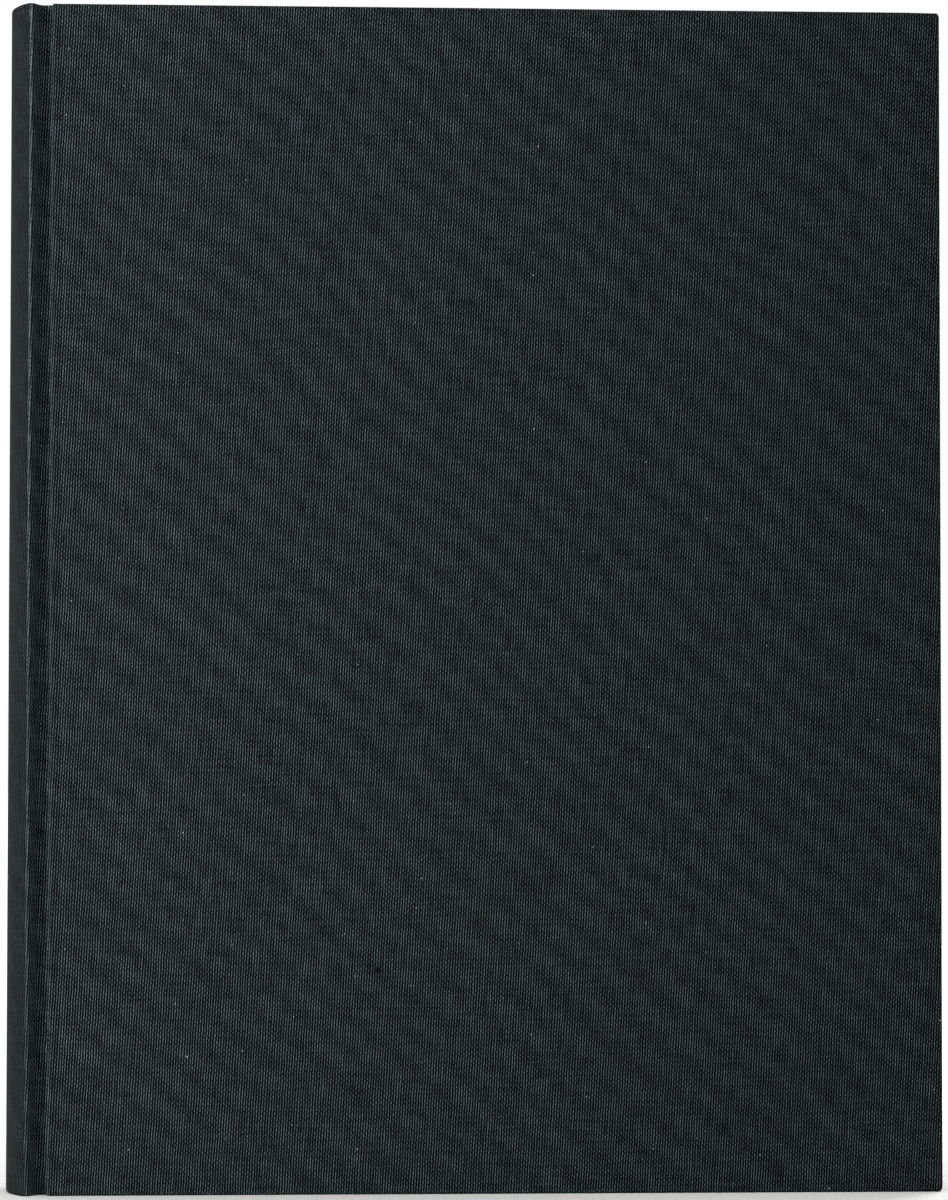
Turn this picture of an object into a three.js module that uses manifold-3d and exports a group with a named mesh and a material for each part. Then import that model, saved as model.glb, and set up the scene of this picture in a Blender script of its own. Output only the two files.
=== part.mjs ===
// A cloth-covered register book, case-bound with a rounded back, standing closed on its tail edge.
// Millimetres. X runs from the spine to the fore edge, Y from the front cover to the back cover and
// Z from the tail up to the head. The origin is the middle of the floor space that the book takes.
import * as THREE from 'three';
import { mergeVertices } from 'three/addons/utils/BufferGeometryUtils.js';
import Module from 'manifold-3d';

const wasm = await Module();
wasm.setup();

// Leaves. They are letter size, and all but the turning ones are shown as sewn sections.
const leafWidth = 215.9;
const leafHeight = 279.4;
const leafThick = 0.2;
const leafGap = 0.1;
const turningLeafCount = 3;
const sectionCount = 12;
const sectionThick = 1.15;
const sectionGap = 0.08;

// Case. The squares are how far the covers stand past the leaves.
const headSquare = 3.2;
const foreSquare = 4.9;
const boardThick = 2.4;
const clothThick = 0.35;
const pastedownThick = 0.2;
const turnInWidth = 15;
const boardEdgeRadius = 0.6;
const glueLine = 0.05;
const layerGap = 0.1;
const coverGap = 0.25;

// Rounded back. The ridge, where the cloth passes over the shoulder, is at X = 0 before centring.
const spineRound = 5.0;
const ridgeProud = 0.4;
const ridgeRadius = 1.0;
const cardThick = 0.5;
const cardWidth = 18;
const spineTurnInHeight = 13;
const liningThick = 0.2;
const liningWidth = 16;
const liningShort = 15;
const mullThick = 0.2;
const mullWidth = 18;
const mullShort = 12;
const mullFlangeEnd = 30;

// Sewing, at stations spaced evenly between the two kettle stitches.
const threadThick = 0.2;
const threadWidth = 1.4;
const threadSpan = 17;
const kettleInset = 14;

// Shoulder. The backs of the sections fan out to it.
const shoulderSetBack = 0.3;
const shoulderDepth = 0.85;
const flareLength = 2.6;
const foldDrop = 0.35;

// French groove, between the ridge and the edge of the board.
const grooveDepth = 2.4;
const grooveWallEnd = 3.4;
const grooveFloorEnd = 4.7;
const grooveHandle = 1.5;
const boardEdgeX = 5.55;
const boardFit = 0.15;

// What turns begins past the cloth and paper that bend in the gutter.
const gutterEnd = 4.4;
const coverStart = 6.4;

// Head band and tail band: a covered cord with a flange glued down the back.
const bandRadius = 0.8;
const bandFlange = 9;
const bandFlangeThick = 0.2;
const bandWidth = 17;

// Levels, as depth from the outer face of a cover.
const boardTop = clothThick + glueLine;
const boardUnder = boardTop + boardThick;
const turnInTop = boardUnder + glueLine;
const turnInUnder = turnInTop + clothThick;
const pastedownTop = turnInUnder + glueLine;
const coverThick = pastedownTop + pastedownThick;

// Thicknesses of the block and the book.
const leafPitch = leafThick + leafGap;
const sectionPitch = sectionThick + sectionGap;
const frontLeavesThick = (turningLeafCount + 1) * leafPitch;
const sectionsThick = sectionCount * sectionPitch - sectionGap;
const blockThick = frontLeavesThick + sectionsThick + leafPitch;
const blockHalf = blockThick / 2;
const bookHalf = blockHalf + coverGap + coverThick;
const bookHeight = leafHeight + 2 * headSquare;
const leafTail = headSquare;
const leafHead = headSquare + leafHeight;

// Every layer of the back shares the centre of the case's arc, which passes through both ridges.
const ridgeHalf = bookHalf + ridgeProud;
const caseRadius = (ridgeHalf ** 2 + spineRound ** 2) / (2 * spineRound);
const backCentreX = caseRadius - spineRound;
const ridgeAngle = Math.asin(ridgeHalf / caseRadius);
const ridgeTangent = ridgeRadius * Math.tan((Math.PI / 2 - ridgeAngle) / 2);
const spineClothAngle = ridgeAngle - ridgeTangent / caseRadius;
const cardOuter = caseRadius - clothThick - glueLine;
const cardInner = cardOuter - cardThick;
const spineTurnInOuter = cardInner - glueLine;
const spineTurnInInner = spineTurnInOuter - clothThick;
const mullOuter = spineTurnInInner - layerGap;
const mullInner = mullOuter - mullThick;
const threadOuter = mullInner - layerGap;
const threadInner = threadOuter - threadThick;
const foldRadius = threadInner - layerGap;

// Reaches across the book.
const shoulderHalf = bookHalf - shoulderDepth;
const leafForeX = leafWidth - shoulderSetBack;
const coverForeX = leafForeX + foreSquare;
const boardNearX = boardEdgeX + clothThick + boardFit;

const arcSteps = 24;
const curveSteps = 8;
const noseSteps = 4;

// A closed outline pushed up from one height to another.
function prism(outline, low, high) {
  const shape = new THREE.Shape(outline.map(([x, y]) => new THREE.Vector2(x, y)));
  const settings = { depth: high - low, bevelEnabled: false, curveSegments: 1 };
  return new THREE.ExtrudeGeometry(shape, settings).translate(0, 0, low);
}

// The front has side -1 and the back has side 1: depth counts inwards from that cover's outer face.
function onSide(side, points) {
  return points.map(([x, depth]) => [x, side * (bookHalf - depth)]);
}

function plate(side, [xLow, xHigh], [depthLow, depthHigh], [low, high]) {
  const corners = [[xLow, depthLow], [xHigh, depthLow], [xHigh, depthHigh], [xLow, depthHigh]];
  return prism(onSide(side, corners), low, high);
}

// A path moved inwards by the same distance all along, with mitred corners.
function inset(path, distance) {
  const directions = path.slice(1).map(([x, y], i) => {
    const step = new THREE.Vector2(x - path[i][0], y - path[i][1]);
    return step.normalize();
  });
  return path.map(([x, y], i) => {
    const before = directions[Math.max(i - 1, 0)];
    const after = directions[Math.min(i, directions.length - 1)];
    const scale = distance / (1 + before.dot(after));
    return [x - (before.y + after.y) * scale, y + (before.x + after.x) * scale];
  });
}

// The band between two insets of a path.
function layer(path, near, far) {
  return [...inset(path, near), ...inset(path, far).reverse()];
}

// The band between two radii of the rounded back, out to an angle each way.
function backLayer(outer, inner, angle) {
  const sweep = (radius) => Array.from({ length: arcSteps + 1 }, (_, i) => {
    const a = angle * (2 * i / arcSteps - 1);
    return [backCentreX - radius * Math.cos(a), radius * Math.sin(a)];
  });
  return [...sweep(outer), ...sweep(inner).reverse()];
}

function angleOfWidth(width, radius) {
  return Math.asin(width / 2 / radius);
}

// Solids for joining and cutting, made from closed geometries and turned back into them.
function solid(geometry) {
  const bare = geometry.clone();
  bare.deleteAttribute('normal');
  bare.deleteAttribute('uv');
  const merged = mergeVertices(bare, 1e-5);
  return new wasm.Manifold(new wasm.Mesh({
    numProp: 3,
    vertProperties: Float32Array.from(merged.attributes.position.array),
    triVerts: Uint32Array.from(merged.index.array),
  }));
}

function geometryOf(manifold) {
  const { numProp, vertProperties, triVerts } = manifold.getMesh();
  const geometry = new THREE.BufferGeometry();
  const positions = new THREE.BufferAttribute(Float32Array.from(vertProperties), numProp);
  geometry.setAttribute('position', positions);
  geometry.setIndex(new THREE.BufferAttribute(Uint32Array.from(triVerts), 1));
  const flat = geometry.toNonIndexed();
  flat.computeVertexNormals();
  return flat;
}

function join(...geometries) {
  return geometryOf(geometries.map(solid).reduce((whole, piece) => whole.add(piece)));
}

function cut(geometry, ...tools) {
  return geometryOf(tools.map(solid).reduce((whole, tool) => whole.subtract(tool), solid(geometry)));
}

// A level is a height through the pressed block. At the fold it has fanned out to its share of the
// shoulder, and the folds lie on the rounded back as far as the shoulder's own face.
function foldLevel(level) {
  return level * shoulderHalf / blockHalf;
}

function foldX(level) {
  const arc = backCentreX - Math.sqrt(Math.max(foldRadius ** 2 - foldLevel(level) ** 2, 0));
  return Math.min(arc, -shoulderSetBack);
}

function fanned(level, x) {
  const share = THREE.MathUtils.smoothstep(foldX(level) + flareLength - x, 0, flareLength);
  return [x, THREE.MathUtils.lerp(level, foldLevel(level), share)];
}

// One level from the fold to the end of the flare, starting a little way in from the fold.
function flare(level, start) {
  return Array.from({ length: curveSteps + 1 }, (_, i) => {
    return fanned(level, foldX(level) + THREE.MathUtils.lerp(start, flareLength, i / curveSteps));
  });
}

// Paper between two levels, out to a reach that follows the fold, or to one fixed X.
function paperOutline(low, high, drop, reachOf) {
  const nose = Array.from({ length: noseSteps - 1 }, (_, i) => {
    const share = (i + 1) / noseSteps;
    const level = THREE.MathUtils.lerp(low, high, share);
    return fanned(level, foldX(level) + drop * (2 * share - 1) ** 2);
  });
  return [
    ...nose,
    ...flare(high, drop),
    [reachOf(high), high],
    [reachOf(low), low],
    ...flare(low, drop).reverse(),
  ];
}

function sectionGeometry(index) {
  const low = frontLeavesThick - blockHalf + index * sectionPitch;
  const toForeEdge = (level) => foldX(level) + leafWidth;
  return prism(paperOutline(low, low + sectionThick, foldDrop, toForeEdge), leafTail, leafHead);
}

// Turning leaf number 0 is the flyleaf. Its gutter strip bends, and the rest of it stays flat.
function leafLevels(side, number) {
  const edge = side * (blockHalf - number * leafPitch);
  const other = edge - side * leafThick;
  return [Math.min(edge, other), Math.max(edge, other)];
}

function gutterGeometry(side, number) {
  const [low, high] = leafLevels(side, number);
  return prism(paperOutline(low, high, 0, () => gutterEnd), leafTail, leafHead);
}

function leafGeometry(side, number) {
  const [low, high] = leafLevels(side, number);
  const near = gutterEnd + glueLine;
  const outline = [[near, low], [leafForeX, low], [leafForeX, high], [near, high]];
  return prism(outline, leafTail, leafHead);
}

// The thread is drawn tight over every fold, so its outer line has one swell for each section.
function threadGeometry(height) {
  const angle = angleOfWidth(threadSpan, threadOuter);
  const steps = sectionCount * 4;
  const outer = Array.from({ length: steps + 1 }, (_, i) => {
    const a = angle * (2 * i / steps - 1);
    const swell = (1 - Math.cos(i / steps * sectionCount * 2 * Math.PI)) / 2;
    const radius = threadOuter - threadThick / 2 * (1 - swell);
    return [backCentreX - radius * Math.cos(a), radius * Math.sin(a)];
  });
  const inner = backLayer(threadOuter, threadInner, angle).slice(arcSteps + 1);
  return prism([...outer, ...inner], height - threadWidth / 2, height + threadWidth / 2);
}

function mullGeometry() {
  const outline = backLayer(mullOuter, mullInner, angleOfWidth(mullWidth, mullOuter));
  return prism(outline, leafTail + mullShort, leafHead - mullShort);
}

function liningGeometry() {
  const outer = spineTurnInInner + liningThick;
  const outline = backLayer(outer, spineTurnInInner, angleOfWidth(liningWidth, outer));
  return prism(outline, leafTail + liningShort, leafHead - liningShort);
}

// The band is swept round the back: in its section X points away from the leaves and Y outwards.
function bandGeometry() {
  const flangeRadius = foldRadius + layerGap + bandFlangeThick;
  const angle = angleOfWidth(bandWidth, flangeRadius);
  const route = new THREE.Path();
  route.absarc(backCentreX, 0, flangeRadius, Math.PI + angle, Math.PI - angle, true);
  const rail = new THREE.CatmullRomCurve3(
    route.getPoints(arcSteps).map(({ x, y }) => new THREE.Vector3(x, y, 0)),
  );
  const cordStart = Math.PI - Math.asin((bandRadius - bandFlangeThick) / bandRadius);
  const section = new THREE.Shape();
  section.moveTo(-bandFlange, 0);
  section.lineTo(-bandFlange, -bandFlangeThick);
  section.absarc(layerGap + bandRadius, -bandRadius, bandRadius, cordStart, 2.5 * Math.PI, false);
  const settings = { steps: arcSteps, extrudePath: rail, curveSegments: 8 };
  return new THREE.ExtrudeGeometry(section, settings);
}

// The cloth of the back: one layer from ridge to ridge, folded in over both ends of the card.
function spineClothGeometry() {
  const angle = angleOfWidth(cardWidth, cardOuter);
  const sheet = backLayer(caseRadius, caseRadius - clothThick, spineClothAngle);
  const fold = backLayer(caseRadius - clothThick / 2, spineTurnInInner, angle);
  const turnIn = backLayer(spineTurnInOuter, spineTurnInInner, angle);
  return join(
    prism(sheet, 0, bookHeight),
    prism(fold, 0, clothThick),
    prism(turnIn, 0, spineTurnInHeight),
    prism(fold, bookHeight - clothThick, bookHeight),
    prism(turnIn, bookHeight - spineTurnInHeight, bookHeight),
  );
}

function cardGeometry() {
  const outline = backLayer(cardOuter, cardInner, angleOfWidth(cardWidth, cardOuter));
  return prism(outline, clothThick + glueLine, bookHeight - clothThick - glueLine);
}

// The wall of the groove falls from the ridge to the floor of the groove.
function grooveWall(path) {
  path.bezierCurveTo(
    ridgeTangent + grooveHandle, -ridgeProud,
    grooveWallEnd - grooveHandle, grooveDepth,
    grooveWallEnd, grooveDepth,
  );
}

function pointsOf(path) {
  return path.getPoints(curveSteps).map(({ x, y }) => [x, y]);
}

// The joint's cloth rounds the ridge, lies in the groove and climbs over the edge of the board.
function jointClothGeometry(side) {
  const path = new THREE.Path();
  const startX = backCentreX - caseRadius * Math.cos(spineClothAngle + glueLine / caseRadius);
  const startDepth = bookHalf - caseRadius * Math.sin(spineClothAngle + glueLine / caseRadius);
  path.moveTo(startX, startDepth);
  path.quadraticCurveTo(0, -ridgeProud, ridgeTangent, -ridgeProud);
  grooveWall(path);
  path.lineTo(grooveFloorEnd, grooveDepth);
  const rise = boardEdgeX - grooveFloorEnd;
  path.quadraticCurveTo(boardEdgeX, grooveDepth, boardEdgeX, grooveDepth - rise);
  path.lineTo(boardEdgeX, boardEdgeRadius);
  path.quadraticCurveTo(boardEdgeX, 0, boardEdgeX + boardEdgeRadius, 0);
  path.lineTo(coverStart - glueLine, 0);
  return prism(onSide(side, layer(pointsOf(path), 0, clothThick)), 0, bookHeight);
}

// A layer that lies under the joint's cloth and runs straight on beneath the board.
function underJointGeometry(side, depth, thick, endX, low, high) {
  const path = new THREE.Path();
  path.moveTo(ridgeTangent, -ridgeProud);
  grooveWall(path);
  path.lineTo(endX, grooveDepth);
  const near = depth - grooveDepth;
  return prism(onSide(side, layer(pointsOf(path), near, near + thick)), low, high);
}

// The cover's cloth wraps the board's head, tail and fore edges and turns in on its inner face.
function coverClothGeometry(side) {
  const r = boardEdgeRadius;
  const body = new THREE.Path();
  body.moveTo(coverStart, 0);
  body.lineTo(coverForeX - r, 0);
  body.quadraticCurveTo(coverForeX, 0, coverForeX, r);
  body.lineTo(coverForeX, turnInUnder - r);
  body.quadraticCurveTo(coverForeX, turnInUnder, coverForeX - r, turnInUnder);
  body.lineTo(coverStart, turnInUnder);
  const past = coverStart - 1;
  const inner = [clothThick, bookHeight - clothThick];
  const open = [turnInWidth, bookHeight - turnInWidth];
  return cut(
    prism(onSide(side, pointsOf(body)), 0, bookHeight),
    plate(side, [past, coverForeX - clothThick], [clothThick, turnInTop], inner),
    plate(side, [past, coverForeX - turnInWidth], [boardThick, coverThick], open),
  );
}

function boardGeometry(side) {
  const edge = clothThick + glueLine;
  return plate(side, [boardNearX, coverForeX - edge], [boardTop, boardUnder],
    [edge, bookHeight - edge]);
}

// The pastedown covers the turn-ins and the mull's flange, and sinks to the board between them.
function pastedownGeometry(side) {
  const across = [mullFlangeEnd + layerGap, coverForeX - turnInWidth - layerGap];
  const along = [turnInWidth + layerGap, bookHeight - turnInWidth - layerGap];
  const sunkAcross = [across[0] + pastedownThick, across[1] - pastedownThick];
  const sunkAlong = [along[0] + pastedownThick, along[1] - pastedownThick];
  const sheet = plate(side, [coverStart, leafForeX], [pastedownTop, coverThick],
    [leafTail, leafHead]);
  const pan = plate(side, across, [turnInTop, coverThick], along);
  const sunk = plate(side, sunkAcross, [turnInTop + pastedownThick, coverThick + 1], sunkAlong);
  return cut(join(sheet, pan), sunk);
}

// Every piece is a named mesh with a finish of its own.
const cloth = { color: 0x2b3033, roughness: 0.72 };
const paper = { color: 0xe9e5d8, roughness: 0.9 };
const endpaper = { color: 0xe3dfd2, roughness: 0.9 };
const board = { color: 0x8f8a80, roughness: 0.95 };
const card = { color: 0xb8a98c, roughness: 0.92 };
const muslin = { color: 0xd8d2c0, roughness: 0.98 };
const kraft = { color: 0xa98256, roughness: 0.9 };
const linen = { color: 0xe6dfcc, roughness: 0.8 };
const bandSilk = { color: 0x3a3d40, roughness: 0.6 };

function piece(name, geometry, finish) {
  const mesh = new THREE.Mesh(geometry, new THREE.MeshStandardMaterial({ metalness: 0, ...finish }));
  mesh.name = name;
  return mesh;
}

function textBlock() {
  const group = new THREE.Group();
  for (let i = 0; i < sectionCount; i += 1) {
    const number = String(i + 1).padStart(2, '0');
    group.add(piece(`section_${number}`, sectionGeometry(i), paper));
  }
  const stitches = ['kettle_stitch_tail', 'link_stitch_lower', 'link_stitch_upper',
    'kettle_stitch_head'];
  stitches.forEach((name, i) => {
    const share = i / (stitches.length - 1);
    const low = leafTail + kettleInset;
    const height = THREE.MathUtils.lerp(low, leafHead - kettleInset, share);
    group.add(piece(name, threadGeometry(height), linen));
  });
  group.add(piece('mull', mullGeometry(), muslin));
  group.add(piece('spine_lining', liningGeometry(), kraft));
  group.add(piece('spine_card', cardGeometry(), card));
  const tailBand = bandGeometry().translate(0, 0, leafTail);
  const headBand = bandGeometry().rotateX(Math.PI).translate(0, 0, leafHead);
  group.add(piece('tail_band', tailBand, bandSilk));
  group.add(piece('head_band', headBand, bandSilk));
  group.add(piece('spine_cloth', spineClothGeometry(), cloth));
  return group;
}

function cover(name, side) {
  const group = new THREE.Group();
  const mullSpan = [leafTail + mullShort, leafHead - mullShort];
  const flange = underJointGeometry(side, turnInTop, mullThick, mullFlangeEnd, ...mullSpan);
  const hinge = underJointGeometry(side, pastedownTop, pastedownThick, coverStart - glueLine,
    leafTail, leafHead);
  group.add(piece(`${name}_board`, boardGeometry(side), board));
  group.add(piece(`${name}_cloth`, coverClothGeometry(side), cloth));
  group.add(piece(`${name}_pastedown`, pastedownGeometry(side), endpaper));
  group.add(piece(`${name}_joint_cloth`, jointClothGeometry(side), cloth));
  group.add(piece(`${name}_mull_flange`, flange, muslin));
  group.add(piece(`${name}_endpaper_joint`, hinge, endpaper));
  return group;
}

function turningLeaf(name, side, number, finish) {
  const group = new THREE.Group();
  group.add(piece(name, leafGeometry(side, number), finish));
  group.add(piece(`${name}_gutter`, gutterGeometry(side, number), finish));
  return group;
}

const book = new THREE.Group();
book.name = 'register_book';
book.add(textBlock());
book.add(cover('front', -1));
book.add(cover('back', 1));
book.add(turningLeaf('front_flyleaf', -1, 0, endpaper));
book.add(turningLeaf('back_flyleaf', 1, 0, endpaper));
for (let i = 1; i <= turningLeafCount; i += 1) {
  book.add(turningLeaf(`leaf_${i}`, -1, i, paper));
}
book.position.x = (spineRound - coverForeX) / 2;

export default book;
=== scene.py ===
import functools
import math

import bpy
import numpy as np
from mathutils import Matrix, Vector


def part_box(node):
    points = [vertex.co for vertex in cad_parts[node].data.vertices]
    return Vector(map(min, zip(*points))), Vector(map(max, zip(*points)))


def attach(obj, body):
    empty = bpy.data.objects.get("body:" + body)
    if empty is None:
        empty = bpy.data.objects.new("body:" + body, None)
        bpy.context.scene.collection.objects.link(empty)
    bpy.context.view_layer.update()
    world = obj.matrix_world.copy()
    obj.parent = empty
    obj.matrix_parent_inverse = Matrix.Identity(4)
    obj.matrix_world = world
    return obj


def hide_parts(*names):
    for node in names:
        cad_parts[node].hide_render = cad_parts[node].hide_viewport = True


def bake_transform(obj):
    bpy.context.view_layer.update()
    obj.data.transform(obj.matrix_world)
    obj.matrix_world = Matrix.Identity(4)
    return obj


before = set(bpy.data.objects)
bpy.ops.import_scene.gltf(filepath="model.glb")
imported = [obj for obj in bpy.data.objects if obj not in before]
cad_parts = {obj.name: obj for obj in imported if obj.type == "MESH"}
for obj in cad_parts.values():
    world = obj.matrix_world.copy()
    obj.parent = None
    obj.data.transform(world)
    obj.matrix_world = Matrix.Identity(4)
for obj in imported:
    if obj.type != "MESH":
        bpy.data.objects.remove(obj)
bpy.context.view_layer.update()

mm = 0.001

# The whole book, in millimetres, from the frame. Across the book x counts from the ridge beside the
# spine, and depth counts inwards from the outer face of a cover. A node's box is its two corners.
def boxOf(node):
    low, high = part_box(node)
    return np.array(low) / mm, np.array(high) / mm


frontLow, frontHigh = boxOf("front_cloth")
spineLow, jointLow = boxOf("spine_cloth")[0], boxOf("front_joint_cloth")[0]
leafLow, leafHigh = boxOf("leaf_1")
book = {
    "half": -frontLow[1],  # middle of the block to the outer face of a cover
    "height": frontHigh[2],
    "spineRound": 5.0,  # how far the back stands past the ridge
    "ridgeProud": -frontLow[1] - -jointLow[1],  # below zero: the ridge stands past the cover's face
    "cloth": 0.35,
    "leafTail": leafLow[2],
    "leafHead": leafHigh[2],
    "coverThick": 3.45,
    "turnIn": 15.0,
    "turnInUnder": 3.2,  # depth of the inner face of the turned-in cloth
    "pasteTop": 3.25,
}
book["ridgeX"] = spineLow[0] + book["spineRound"]
book["foreX"] = frontHigh[0] - book["ridgeX"]
book["leafForeX"] = leafHigh[0] - book["ridgeX"]
book["ridgeHalf"] = book["half"] - book["ridgeProud"]
book["backRadius"] = (book["ridgeHalf"] ** 2 + book["spineRound"] ** 2) / (2 * book["spineRound"])
book["backCentre"] = book["backRadius"] - book["spineRound"]
print("book", {k: round(float(v), 3) for k, v in book.items()})


# Small tools

# sRGB hex to linear: c / 12.92 below 0.04045, else ((c + 0.055) / 1.055) to the power 2.4.
def colour(hexText, alpha=1.0):
    c = np.array([int(hexText[i:i + 2], 16) / 255 for i in (1, 3, 5)])
    linear = np.where(c < 0.04045, c / 12.92, ((c + 0.055) / 1.055) ** 2.4)
    return (*[float(v) for v in linear], alpha)


# Adds a node and sets its properties. Values and links go to its live inputs in order, or a
# dictionary names them, and a node that is given stands for its first live output.
def addNode(tree, kind, *given, **settings):
    node = tree.nodes.new("ShaderNode" + kind)
    for key, value in settings.items():
        setattr(node, key, value)
    live = [socket for socket in node.inputs if socket.enabled]
    for position, value in enumerate(given):
        for key, source in (value if isinstance(value, dict) else {position: value}).items():
            socket = live[key] if isinstance(key, int) else node.inputs[key]
            if isinstance(source, bpy.types.Node):
                source = next(output for output in source.outputs if output.enabled)
            if isinstance(source, bpy.types.NodeSocket):
                tree.links.new(source, socket)
            else:
                socket.default_value = source
    return node


# Joins parts into one mesh in metres: each part's quads count on from the vertices before them.
# The mesh keeps each vertex's place on the flat sheet, in mm, and its sheet's tone.
def makePiece(name, parts, material):
    counts = [len(part["vertices"]) for part in parts]
    starts = np.cumsum([0] + counts[:-1])
    vertices, flat, place = (np.concatenate([part[key] for part in parts])
                             for key in ("vertices", "flat", "place"))
    quads = np.concatenate([part["quads"] + start for part, start in zip(parts, starts)])
    tone = np.repeat([part["tone"] for part in parts], counts)
    mesh = bpy.data.meshes.new(name)
    mesh.from_pydata(vertices * mm, [], quads.tolist())
    mesh.polygons.foreach_set("use_smooth", ~flat)
    woven = mesh.attributes.new("place", "FLOAT_VECTOR", "POINT")
    woven.data.foreach_set("vector", place.astype(np.float32).ravel())
    shade = mesh.attributes.new("tone", "FLOAT", "POINT")
    shade.data.foreach_set("value", tone.astype(np.float32))
    mesh.materials.append(material)
    mesh.update()
    piece = bpy.data.objects.new(name, mesh)
    bpy.context.scene.collection.objects.link(piece)
    return piece


# Six times the signed volume of a closed quad mesh: the sum of a . (b x c) over its triangles.
def turnedOut(vertices, quads):
    a, b, c, d = (vertices[quads[:, k]] for k in range(4))
    volume = np.einsum("ij,ij->", a, np.cross(b, c)) + np.einsum("ij,ij->", a, np.cross(c, d))
    return quads if volume > 0 else quads[:, ::-1]


# A closed shell between two grids of points (rows, columns, 3): the near side, the far side turned
# over, and a rim of quads round the border. place holds each point's place on the flat sheet.
def shellPart(near, far, place, tone=0.5):
    rows, columns = near.shape[:2]
    index = np.arange(rows * columns).reshape(rows, columns)
    side = np.stack([index[:-1, :-1], index[1:, :-1], index[1:, 1:], index[:-1, 1:]], -1)
    side = side.reshape(-1, 4)
    loop = np.concatenate([index[0, :-1], index[:-1, -1], index[-1, :0:-1], index[:0:-1, 0]])
    after = np.roll(loop, -1)
    total = rows * columns
    rim = np.stack([loop, after, after + total, loop + total], -1)
    quads = np.concatenate([side, side[:, ::-1] + total, rim])
    vertices = np.concatenate([near.reshape(-1, 3), far.reshape(-1, 3)])
    flat = np.concatenate([np.zeros(2 * len(side), bool), np.ones(len(rim), bool)])
    both = np.concatenate([place.reshape(-1, 3)] * 2)
    return {"vertices": vertices, "quads": turnedOut(vertices, quads), "flat": flat,
            "place": both, "tone": tone}


# Unit normals of a grid: the cross product of its steps along rows and along columns.
def gridNormals(grid):
    across = np.gradient(grid, axis=0)
    along = np.gradient(grid, axis=1)
    normal = np.cross(across, along)
    return normal / np.maximum(np.linalg.norm(normal, axis=2, keepdims=True), 1e-9)


# From (x, depth, z) on one side of the book to the row frame: depth 0 is the cover's outer face.
def inBook(points, side):
    x, depth, z = np.moveaxis(np.asarray(points, float), -1, 0)
    return np.stack([x + book["ridgeX"], side * (book["half"] - depth), z], -1)


# Quadratic and cubic Bezier points by the Bernstein sums, at n even parameters past the first.
def bezier(points, n):
    t = np.linspace(0, 1, n + 1)[1:, None]
    p = np.array(points, float)
    if len(p) == 3:
        return (1 - t) ** 2 * p[0] + 2 * (1 - t) * t * p[1] + t ** 2 * p[2]
    return ((1 - t) ** 3 * p[0] + 3 * (1 - t) ** 2 * t * p[1] + 3 * (1 - t) * t ** 2 * p[2]
            + t ** 3 * p[3])


# Points of a straight line, start + t * (end - start), at n even parameters past the first.
def line(start, end, n):
    t = np.linspace(0, 1, n + 1)[1:, None]
    return (1 - t) * np.array(start, float) + t * np.array(end, float)


# Arc length along a path: the running sum of its step lengths.
def lengthAlong(path):
    steps = np.linalg.norm(np.diff(path, axis=0), axis=1)
    return np.concatenate([[0], np.cumsum(steps)])


# A path moved sideways by a distance along its normals (-dDepth, dX), from central differences.
def sideways(path, distance):
    d = np.gradient(path, axis=0)
    d /= np.linalg.norm(d, axis=1, keepdims=True)
    return path + np.stack([-d[:, 1], d[:, 0]], 1) * distance


# Smooth step: 3 t^2 - 2 t^3, with t held between 0 and 1.
def smooth(t):
    t = np.clip(t, 0, 1)
    return t * t * (3 - 2 * t)


# Materials

# What a Math node does to its inputs, in the order in which they are given.
times, plus, minus, timesPlus, most, below, above, cosine, sine, unsigned, pingPong = (
    {"operation": name} for name in (
        "MULTIPLY", "ADD", "SUBTRACT", "MULTIPLY_ADD", "MAXIMUM", "LESS_THAN", "GREATER_THAN",
        "COSINE", "SINE", "ABSOLUTE", "PINGPONG"))
inColour = {"data_type": "RGBA"}
fullTurn = 2 * math.pi


# An empty material, and addNode for its tree.
def newMaterial(name):
    material = bpy.data.materials.new(name)
    material.use_nodes = True
    material.node_tree.nodes.clear()
    return material, functools.partial(addNode, material.node_tree)


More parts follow.
